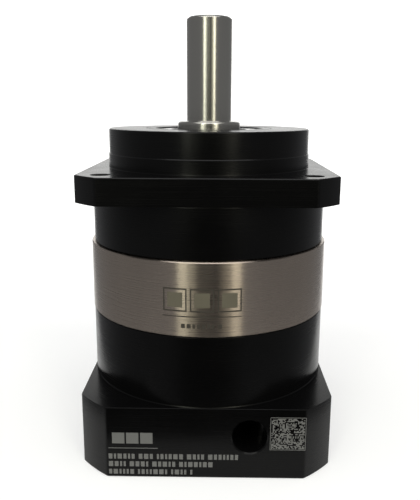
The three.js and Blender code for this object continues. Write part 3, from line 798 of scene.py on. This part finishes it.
def adapter_hollow(skin, top):
    """The adapter's inside from the motor face up, as its mouth and its far edge."""
    bore = INPUT_BEARING_BORE
    return skin.turn(
        [
            (MOTOR_PILOT_RADIUS + 0.5, 0),
            (MOTOR_PILOT_RADIUS, 0.5),
            (MOTOR_PILOT_RADIUS, MOTOR_PILOT_DEPTH),
            (CLAMP_CAVITY_RADIUS + 0.4, MOTOR_PILOT_DEPTH),
            (CLAMP_CAVITY_RADIUS, MOTOR_PILOT_DEPTH + 0.4),
            (CLAMP_CAVITY_RADIUS, CLAMP_CAVITY_TOP),
            (INPUT_SEAL_BORE, CLAMP_CAVITY_TOP),
            (INPUT_SEAL_BORE, INPUT_BEARING_BOTTOM),
            (bore, INPUT_BEARING_BOTTOM),
            *groove(bore, INPUT_BEARING_TOP, INPUT_CIRCLIP_TOP, CIRCLIP_DEPTH),
            (bore, INPUT_BORE_TOP),
            (GEAR_CAVITY_RADIUS, INPUT_BORE_TOP),
            (GEAR_CAVITY_RADIUS, top),
        ]
    )


def build_motor_adapter():
    skin = Skin()
    top = adapter_high.z
    square_bottom, square_top = squared_wall(
        skin,
        ADAPTER_HALF,
        ADAPTER_CORNER_RADIUS,
        0,
        ADAPTER_SQUARE_TOP,
        ADAPTER_FOOT_BEVEL,
        SHARP_BEVEL,
    )

    # The round body above the square, with a thin groove at its foot.
    groove_radius = LOWER_BODY_RADIUS - FOOT_GROOVE_DEPTH
    wall_bottom, wall_top = skin.turn(
        [
            (LOWER_BODY_RADIUS, ADAPTER_SQUARE_TOP),
            (groove_radius, ADAPTER_SQUARE_TOP + 0.35),
            (groove_radius, ADAPTER_SQUARE_TOP + 0.4),
            (LOWER_BODY_RADIUS, ADAPTER_SQUARE_TOP + 0.6),
            (LOWER_BODY_RADIUS, top - BODY_CHAMFER),
            (LOWER_BODY_RADIUS - 0.1, top - 0.12),
            (LOWER_BODY_RADIUS - BODY_CHAMFER, top),
        ]
    )
    skin.cap(square_top, [wall_bottom])

    # Holes and hollows.
    lower, upper = stack_screw_holes(skin, top)
    motor_holes = square_places(MOTOR_HOLE_OFFSET)
    lower += blind_holes(skin, motor_holes, MOTOR_HOLE_RADIUS, 0, MOTOR_HOLE_DEPTH, 0.4)
    upper += blind_holes(skin, DOWEL_PLACES, DOWEL_HOLE, top, top - DOWEL_REACH + FACE_GAP)
    mouth, far_edge = adapter_hollow(skin, top)
    groove_inner, groove_outer = o_ring_groove(skin, top, top - O_RING_DEPTH)
    skin.cap(square_bottom, [mouth, *lower])
    skin.cap(groove_inner, [far_edge])
    skin.cap(wall_top, [groove_outer, *upper])
    piece = object_from(skin, "motor_adapter_casting", ANODISED)

    # Clamp screw's access hole, from the front face into the clamp's cavity.
    face = -ADAPTER_HALF
    flare = [(ACCESS_RADIUS + ACCESS_BEVEL + 1, face - 1), (ACCESS_RADIUS, face + ACCESS_BEVEL)]
    cutter = solid_of([*flare, (ACCESS_RADIUS, ACCESS_END)], FINE, "access_hole_cutter")
    cut_away(piece, [along_y(cutter, ACCESS_X, ACCESS_Z)])
    place(piece, HOUSING, ["motor_adapter"])


# ---------------------------------------------------------------- shafts and clamp


def carrier_posts(skin):
    """The three posts under the carrier's front disc with their tapped holes, as their feet."""
    end = shaft_low.z
    profile = [
        (POST_RADIUS, CARRIER_BOTTOM),
        (POST_RADIUS, end + POST_BEVEL),
        (POST_RADIUS - POST_BEVEL, end),
    ]
    feet = []
    for spot in circle_places(POST_OFFSET, PLANETS, math.pi / PLANETS):
        foot, tip = skin.turn(profile, SMALL, spot)
        hole = skin.blind_bore(spot, POST_SCREW_HOLE, end, end + POST_SCREW_DEPTH)
        skin.cap(tip, [hole])
        feet.append(foot)
    return feet


def build_output_shaft():
    """The output shaft, in one piece with the carrier's front disc and its posts."""
    skin = Skin()
    pins = circle_places(ORBIT_RADIUS, PLANETS)
    pins_under, pins_over = plain_holes(skin, pins, PIN_HOLE, CARRIER_BOTTOM, CARRIER_TOP)
    posts = carrier_posts(skin)
    rim = bevelled(CARRIER_RADIUS, CARRIER_BOTTOM, CARRIER_TOP, CARRIER_BEVEL)
    rim_bottom, rim_top = skin.turn(rim, MEDIUM)
    skin.cap(rim_bottom, [*pins_under, *posts])

    seat = OUTPUT_SHAFT_SEAT
    hub_top = REAR_BEARING_BOTTOM - FACE_GAP
    circlip_top = FRONT_BEARING_TOP + CIRCLIP_HEIGHT
    land_top = 114.35
    collar_edge = (COLLAR_RADIUS, COLLAR_TOP)
    profile = [
        (HUB_RADIUS, CARRIER_TOP),
        (HUB_RADIUS, hub_top),
        (seat, hub_top),
        *groove(seat, FRONT_BEARING_TOP, circlip_top, -CIRCLIP_DEPTH),
        (seat, land_top),
        (COLLAR_RADIUS, land_top),
        collar_edge,
        (SHAFT_RADIUS + 0.35, COLLAR_TOP),
        (SHAFT_RADIUS, COLLAR_TOP + 0.3),
        (SHAFT_RADIUS, SHAFT_TOP - 0.9),
        (SHAFT_RADIUS - 0.12, SHAFT_TOP - 0.65),
        (SHAFT_RADIUS - 0.85, SHAFT_TOP - 0.06),
        (SHAFT_RADIUS - 1.05, SHAFT_TOP),
        *centre_hole(SHAFT_TOP),
    ]
    profile = rounded(profile, profile.index(collar_edge), 1.1, 6)
    hub_foot, hole_floor = skin.turn(profile, MEDIUM)
    skin.cap(hole_floor)
    skin.cap(rim_top, [hub_foot, *pins_over])
    piece = object_from(skin, "output_shaft_ground", SHAFT_STEEL)
    place(piece, OUTPUT, ["output_shaft"])


def centre_hole(face):
    """Profile of the lathe centre's hole in a shaft end, from its mouth down to its tip."""
    return [(3.1, face), (2.1, face - 0.6), (0.9, face - 3.2), (0.9, face - 4.6)]


def build_output_seal():
    """The output shaft's rubber seal, and the bright edge of its steel case."""
    skin = Skin()
    bottom, top = seal_low.z, seal_high.z
    outer, lip = OUTPUT_SEAL_RADIUS, COLLAR_RADIUS + 0.12
    wall, web = 18, 14
    web_top = top - 2.4
    skin.turn(
        [
            (outer, bottom),
            (outer, top - 0.45),
            (outer - 0.25, top - 0.1),
            (outer - 0.6, top),
            (wall + 0.2, top),
            (wall - 0.1, top - 0.35),
            (web + 0.6, top - 0.6),
            (web, top - 0.15),
            (web - 0.8, top - 0.1),
            (lip + 0.25, top - 0.5),
            (lip, top - 1.1),
            (lip + 0.7, web_top),
            (lip, top - 4.2),
            (lip + 0.5, bottom + 0.5),
            (web, bottom + 0.5),
            (web, web_top),
            (wall, web_top),
            (wall, bottom),
            (outer, bottom),
        ],
        MEDIUM,
    )
    piece = object_from(skin, "output_seal_moulding", RUBBER)
    place(piece, HOUSING, ["output_oil_seal"])

    case = Skin()
    case_outer, case_inner = outer - 0.4, web + 1.2
    case.turn(
        [
            (case_inner, top - 0.3),
            (case_inner + 0.2, top - 0.05),
            (case_outer - 0.3, top - 0.02),
            (case_outer, top - 0.3),
            (case_inner, top - 0.3),
        ]
    )
    rim = object_from(case, "output_seal_case", SEAL_CASE_STEEL)
    place(rim, HOUSING)


def socket_screw(name, spot, bottom, head, shank, socket):
    """A cap screw standing on its head. Head, shank and socket are each (radius, length)."""
    skin = Skin()
    head_radius, head_height = head
    shank_radius, shank_length = shank
    socket_radius, socket_depth = socket
    seat = bottom + head_height
    edge = 0.35
    socket_edge = 0.25
    face, tip = skin.turn(
        [
            (head_radius - edge, bottom),
            (head_radius - 0.1, bottom + 0.1),
            (head_radius, bottom + edge),
            (head_radius, seat - 0.15),
            (head_radius - 0.15, seat),
            (shank_radius + 0.25, seat),
            (shank_radius, seat + 0.25),
            (shank_radius, seat + shank_length - 0.5),
            (shank_radius - 0.5, seat + shank_length),
        ],
        SMALL,
        spot,
    )
    skin.cap(tip)
    mouth, floor = skin.turn(
        [
            (socket_radius + socket_edge, bottom),
            (socket_radius, bottom + socket_edge),
            (socket_radius, bottom + socket_depth),
        ],
        HEXAGON,
        spot,
    )
    skin.cap(floor)
    skin.cap(face, [mouth])
    return object_from(skin, name, SCREW_STEEL)


def build_stack_screws():
    low, _ = span("stack_screw_1")
    head, shank, socket = (3.5, 4), (2, 69), (1.73, 2.2)
    for i, spot in enumerate(STACK_PLACES, 1):
        piece = socket_screw(f"stack_cap_screw_{i}", spot, low.z, head, shank, socket)
        place(piece, HOUSING, [f"stack_screw_{i}"])


def build_clamp_screw():
    low, _ = span("clamp_screw")
    head, shank, socket = (4.25, 5), (2.5, 20), (2.3, 2.6)
    piece = socket_screw("clamp_cap_screw", (0, 0), low.y, head, shank, socket)
    along_y(piece, ACCESS_X, ACCESS_Z)
    piece.data.update()
    place(piece, INPUT, ["clamp_screw"])


def build_input_shaft():
    """The input shaft: split clamp tube, bearing seat, neck and sun gear."""
    low, high = span("input_sun_shaft")
    skin = Skin()
    tube, seat, land, neck = CLAMP_TUBE_RADIUS, INPUT_SHAFT_SEAT, 13, 7
    seat_end = 44.9
    mouth, tip = skin.turn(
        [
            (MOTOR_SHAFT_RADIUS + 0.6, low.z),
            (tube - 0.4, low.z),
            (tube, low.z + 0.4),
            (tube, CLAMP_CAVITY_TOP),
            (land, CLAMP_CAVITY_TOP),
            (land, INPUT_BEARING_BOTTOM),
            (seat, INPUT_BEARING_BOTTOM),
            *groove(seat, INPUT_BEARING_TOP, INPUT_CIRCLIP_TOP, -CIRCLIP_DEPTH),
            (seat, seat_end - 0.3),
            (seat - 0.3, seat_end),
            (neck, seat_end),
            (neck, SUN_NECK_BOTTOM),
            (SUN_NECK_RADIUS, SUN_NECK_BOTTOM),
            (SUN_NECK_RADIUS, high.z - 0.2),
            (SUN_NECK_RADIUS - 0.25, high.z),
        ],
        MEDIUM,
    )
    skin.cap(tip)
    bore_depth = low.z + MOTOR_SHAFT_DEPTH
    bore_rim = skin.blind_bore((0, 0), MOTOR_SHAFT_RADIUS, low.z + 0.6, bore_depth, MEDIUM)
    skin.band(mouth, bore_rim)
    piece = object_from(skin, "input_sun_shaft_turned", SHAFT_STEEL)

    teeth = Skin()
    inner = GEAR_MODULE * SUN_TEETH / 2 - DEDENDUM
    half_pitch = math.pi / SUN_TEETH
    heights = (SUN_TEETH_BOTTOM, high.z - 0.1)
    lower, upper = teeth.stack(
        [tooth_outline(SUN_TEETH, inner, -FLANK_CLEARANCE, half_pitch, height) for height in heights]
    )
    teeth.cap(lower)
    teeth.cap(upper)
    sun = bpy.data.objects.new("sun_teeth", teeth.mesh("sun_teeth"))
    reach, slit_top = 14, 23
    slit_start, slit_end = (-reach, -CLAMP_SLIT_HALF, low.z - 2), (reach, CLAMP_SLIT_HALF, slit_top)
    slit = slab(slit_start, slit_end, "clamp_tube_slit")
    cut_away(piece, [sun], "UNION")
    cut_away(piece, [slit])
    place(piece, INPUT, ["input_sun_shaft"])


def build_clamp_ring():
    low, high = span("clamp_ring")
    skin = Skin()
    outer, bore = CLAMP_RING_RADIUS, CLAMP_BORE
    bevel, bore_bevel = CLAMP_RING_BEVEL, 0.3
    skin.turn(
        [
            (bore, low.z + bore_bevel),
            (bore + bore_bevel, low.z),
            *bevelled(outer, low.z, high.z, bevel),
            (bore + bore_bevel, high.z),
            (bore, high.z - bore_bevel),
            (bore, low.z + bore_bevel),
        ]
    )
    piece = object_from(skin, "clamp_ring_turned", GEAR_STEEL)
    slot_start, slot_end = (10, -CLAMP_SLOT_HALF, low.z - 1), (24, CLAMP_SLOT_HALF, high.z + 1)
    slot = slab(slot_start, slot_end, "clamp_slot")
    shank = solid_of([(CLAMP_SHANK_HOLE, -20), (CLAMP_SHANK_HOLE, 12.7)], SMALL, "clamp_shank_hole")
    head = [(CLAMP_HEAD_POCKET, -24), (CLAMP_HEAD_POCKET, -CLAMP_HEAD_SEAT)]
    pocket = solid_of(head, SMALL, "clamp_head_pocket")
    cut_away(piece, [slot, *(along_y(tool, ACCESS_X, ACCESS_Z) for tool in (shank, pocket))])
    place(piece, INPUT, ["clamp_ring"])


# ---------------------------------------------------------------- etched marks, all of them generic


class Etching:
    """Flat marks of plain shapes, laid on a surface by a function from (across, up) to a point."""

    def __init__(self, name, surface, material):
        self.name = name
        self.surface = surface
        self.material = material
        self.skin = Skin()

    def bar(self, left, bottom, width, height):
        """A rectangle, cut into short stretches so that it follows a round surface."""
        longest = 1.5
        stretches = max(1, math.ceil(width / longest))
        for i in range(stretches):
            start = left + width * i / stretches
            end = left + width * (i + 1) / stretches
            self.patch(start, end, bottom, bottom + height)

    def patch(self, left, right, bottom, top):
        corners = [(left, bottom), (right, bottom), (right, top), (left, top)]
        base = self.skin.loop([self.surface(x, z, 0) for x, z in corners])
        face = self.skin.loop([self.surface(x, z, 1) for x, z in corners])
        self.skin.band(base, face)
        self.skin.faces.append(tuple(face))
        self.skin.faces.append(tuple(reversed(base)))

    def frame(self, left, bottom, width, height, line):
        """The outline of an upright rectangle."""
        self.bar(left, bottom, width, line)
        self.bar(left, bottom + height - line, width, line)
        self.bar(left, bottom + line, line, height - 2 * line)
        self.bar(left + width - line, bottom + line, line, height - 2 * line)

    def dashes(self, left, bottom, length, height, seed, dash=1.35, gap=0.55):
        """A row of plain dashes of mixed widths, in groups."""
        draw = random.Random(seed)
        reached, in_group = left, draw.randint(4, 7)
        while reached + dash < left + length:
            width = dash * draw.choice((0.55, 0.8, 1.0, 1.15))
            self.bar(reached, bottom, width, height)
            in_group -= 1
            reached += width + gap
            if in_group == 0:
                in_group = draw.randint(3, 8)
                reached += 1.6 * gap

    def finish(self, body):
        piece = object_from(self.skin, self.name, self.material)
        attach(piece, body)


MARK_SINK = 0.01  # how far a mark's root lies under its surface


def on_ring(across, up, lift):
    """A point on the steel ring's front, measured round it from the middle of the front."""
    thickness = 0.025
    radius = RING_RADIUS - MARK_SINK + thickness * lift
    angle = across / RING_RADIUS
    return Vector((radius * math.sin(angle), -radius * math.cos(angle), up))


def on_adapter_front(across, up, lift):
    thickness = 0.03
    return Vector((across, -ADAPTER_HALF + MARK_SINK - thickness * lift, up))


def build_ring_marks():
    """Three plain outlined blocks over a line, and a row of dashes."""
    outlines = Etching("ring_block_outlines", on_ring, DARK_MARK)
    fills = Etching("ring_block_fills", on_ring, FILL_MARK)
    width, height, bottom, line, margin = 8.3, 8.2, 62.2, 0.5, 1.5
    for left in (-14.9, -5.5, 3.9):
        outlines.frame(left, bottom, width, height, line)
        fills.bar(left + margin, bottom + margin, width - 2 * margin, height - 2 * margin)
    outlines.bar(left=-15.2, bottom=60.3, width=27.5, height=0.35)
    outlines.dashes(left=-8.6, bottom=56.4, length=15.5, height=1.5, seed=11, dash=1.2, gap=0.6)
    outlines.finish(HOUSING)
    fills.finish(HOUSING)


def build_adapter_marks():
    """Three plain blocks over a line, and three rows of dashes."""
    marks = Etching("adapter_marks", on_adapter_front, LIGHT_MARK)
    for left in (-33.2, -28.2, -23.2):
        marks.bar(left, bottom=13.1, width=4.4, height=4.2)
    edge = -34.6
    marks.bar(edge, bottom=11.2, width=17.6, height=0.25)
    marks.dashes(edge, bottom=7.1, length=47, height=2.0, seed=5)
    marks.dashes(edge, bottom=4.1, length=37.5, height=2.0, seed=6)
    marks.dashes(edge, bottom=1.1, length=30.5, height=1.9, seed=7)
    marks.finish(HOUSING)


def build_dot_square():
    """A square of random dots with a plain border, which encodes nothing."""
    square = Etching("adapter_dot_square", on_adapter_front, LIGHT_MARK)
    draw = random.Random(2024)
    count, cell, line, filled_share = 28, 0.42, 0.22, 0.52
    left, bottom = 23.2, 11.6
    side = count * cell + 4 * line
    square.frame(left - 2 * line, bottom - 2 * line, side, side, line)
    for row in range(count):
        run = 0
        for column in range(count + 1):
            if column < count and draw.random() < filled_share:
                run += 1
                continue
            if run:
                start, end = left + (column - run) * cell, left + column * cell
                square.patch(start, end, bottom + row * cell, bottom + (row + 1) * cell)
            run = 0
    square.finish(HOUSING)


# ---------------------------------------------------------------- stage, light and camera


def build_stage():
    """A seamless pale sweep: floor, curve and back wall in one sheet."""
    n = Nodes("pale_paper", (0.5, 0.5, 0.5), 0.9, 0.0)
    fibre = n.noise(n.position, 30.0, 2.0)
    n.roughness(n.from_noise(fibre, 0.85, 0.95))
    path = n.add("ShaderNodeLightPath")
    seen = n.math("MAXIMUM", path.outputs["Is Camera Ray"], path.outputs["Is Glossy Ray"])
    seen = n.math("MAXIMUM", seen, path.outputs["Is Transmission Ray"])
    n.set("Emission Color", (1, 1, 1, 1))
    glow = n.level(n.split(n.position)["Y"], 0.1, 0.45, 0.52, 0.95)  # makes up for the lamps' fall-off
    n.link(n.math("MULTIPLY", seen, glow), n.shader.inputs["Emission Strength"])

    near, far, bend, tall = -72, 620, 200, 420
    near_half, far_half = 72, 312  # narrow in front, so that it lights the object's sides less
    steps = 12
    profile = [(near, 0), (far - bend, 0)]
    for i in range(1, steps + 1):
        angle = math.pi / 2 * i / steps
        profile.append((far - bend + bend * math.sin(angle), bend - bend * math.cos(angle)))
    profile.append((far, tall))
    halves = [near_half + (far_half - near_half) * (y - near) / (far - near) for y, _ in profile]
    points = [Vector((-half, y, z)) * MM for half, (y, z) in zip(halves, profile)]
    points += [Vector((half, y, z)) * MM for half, (y, z) in zip(halves, profile)]
    count = len(profile)
    faces = [(i, count + i, count + i + 1, i + 1) for i in range(count - 1)]
    data = bpy.data.meshes.new("paper_sweep")
    data.from_pydata(points, [], faces)
    data.polygons.foreach_set("use_smooth", [True] * len(data.polygons))
    data.materials.append(n.material)
    sweep = bpy.data.objects.new("paper_sweep", data)
    sweep.location.z = -0.2 * MM
    bpy.context.scene.collection.objects.link(sweep)


def add_lamp(name, angle, distance, height, width, tall, power, target_height, color=(1, 1, 1)):
    """An area lamp facing the object. The angle is measured from the front, positive to the right."""
    lamp = bpy.data.lights.new(name, "AREA")
    lamp.shape = "RECTANGLE"
    lamp.size, lamp.size_y = width, tall
    lamp.energy = power
    lamp.color = color
    spot = bpy.data.objects.new(name, lamp)
    turn = math.radians(angle)
    spot.location = (distance * math.sin(turn), -distance * math.cos(turn), height)
    aim = Vector((0, 0, target_height)) - spot.location
    spot.rotation_euler = aim.to_track_quat("-Z", "Y").to_euler()
    bpy.context.scene.collection.objects.link(spot)


def build_room():
    """A dim studio: dark behind the camera, brighter at the sides and behind the object."""
    world = bpy.data.worlds.new("studio_room")
    bpy.context.scene.world = world
    world.use_nodes = True
    tree = world.node_tree
    background = tree.nodes["Background"]
    direction = tree.nodes.new("ShaderNodeTexCoord").outputs["Generated"]
    split = tree.nodes.new("ShaderNodeSeparateXYZ")
    tree.links.new(direction, split.inputs[0])
    aside = tree.nodes.new("ShaderNodeMath")  # how far a direction points to either side
    aside.operation = "ABSOLUTE"
    tree.links.new(split.outputs["X"], aside.inputs[0])
    dark, bright = 0.02, 0.29
    strengths = []
    for source, start, end in ((aside.outputs[0], 0.22, 0.62), (split.outputs["Y"], -0.1, 0.3)):
        ramp = tree.nodes.new("ShaderNodeMapRange")
        ramp.interpolation_type = "SMOOTHSTEP"
        set_range(ramp, start, end, dark, bright)
        tree.links.new(source, ramp.inputs["Value"])
        strengths.append(ramp.outputs["Result"])
    either = tree.nodes.new("ShaderNodeMath")
    either.operation = "MAXIMUM"
    for strength, socket in zip(strengths, either.inputs):
        tree.links.new(strength, socket)
    background.inputs["Color"].default_value = (0.97, 0.98, 1.0, 1)
    tree.links.new(either.outputs[0], background.inputs["Strength"])


def build_lights():
    """Two upright strips with weaker lamps beside them, a low spot and a panel overhead, in metres."""
    cool, warm = (0.98, 1.0, 0.82), (1.0, 0.97, 0.78)
    away, middle, tall, aim = 1.1, 0.57, 1.1, 0.08
    add_lamp("left_strip", -22.5, away, middle, 0.2, tall, 3.6, aim, cool)
    add_lamp("left_spill", -13.5, away, middle, 0.13, tall, 0.8, aim, cool)
    add_lamp("centre_spill", -1, away, 0.3, 0.2, 0.2, 0.1, 0.14, cool)
    add_lamp("right_strip", 26.5, away, middle, 0.19, tall, 3.6, aim, warm)
    add_lamp("right_spill", 16.5, away, middle, 0.15, tall, 0.5, aim, warm)
    add_lamp("top_panel", 0, 0.3, 1.2, 1.3, 1.1, 13, 0.05)


def build_camera():
    """The viewpoint: a short distance in front of the object, a little above its middle."""
    distance, height, sideways = 249.11, 130.42, 0.15
    turned, panned, tilted, rolled = -0.0150, 0.0019, 0.2253, 0.0050
    focal_share = 1.26553  # focal length over the sensor's longer side
    sensor = 36
    scene = bpy.context.scene
    camera = bpy.data.cameras.new("camera")
    camera.sensor_width = sensor
    camera.lens = sensor * focal_share
    camera.clip_start = 0.01
    holder = bpy.data.objects.new("camera", camera)
    scene.collection.objects.link(holder)

    level = Vector((math.sin(panned), math.cos(panned), 0))
    across = Vector((math.cos(panned), -math.sin(panned), 0))
    up_axis = Vector((0, 0, 1))
    forward = level * math.cos(tilted) - up_axis * math.sin(tilted)
    up = up_axis * math.cos(tilted) + level * math.sin(tilted)
    image_right = across * math.cos(rolled) + up * math.sin(rolled)
    image_up = up * math.cos(rolled) - across * math.sin(rolled)
    spot = Vector((sideways, -distance, height)) * MM

    unturn = Matrix.Rotation(-turned, 4, "Z")
    basis = Matrix((image_right, image_up, -forward)).transposed().to_4x4()
    holder.matrix_world = unturn @ Matrix.Translation(spot) @ basis
    scene.camera = holder


# ---------------------------------------------------------------- put it together

build_camera()
build_stage()
build_room()
build_lights()
finish_cad_nodes()
build_front_housing()
build_ring_gear()
build_motor_adapter()
build_output_shaft()
build_output_seal()
build_input_shaft()
build_clamp_ring()
build_clamp_screw()
build_stack_screws()
build_ring_marks()
build_adapter_marks()
build_dot_square()

bpy.context.scene.view_settings.view_transform = "Standard"
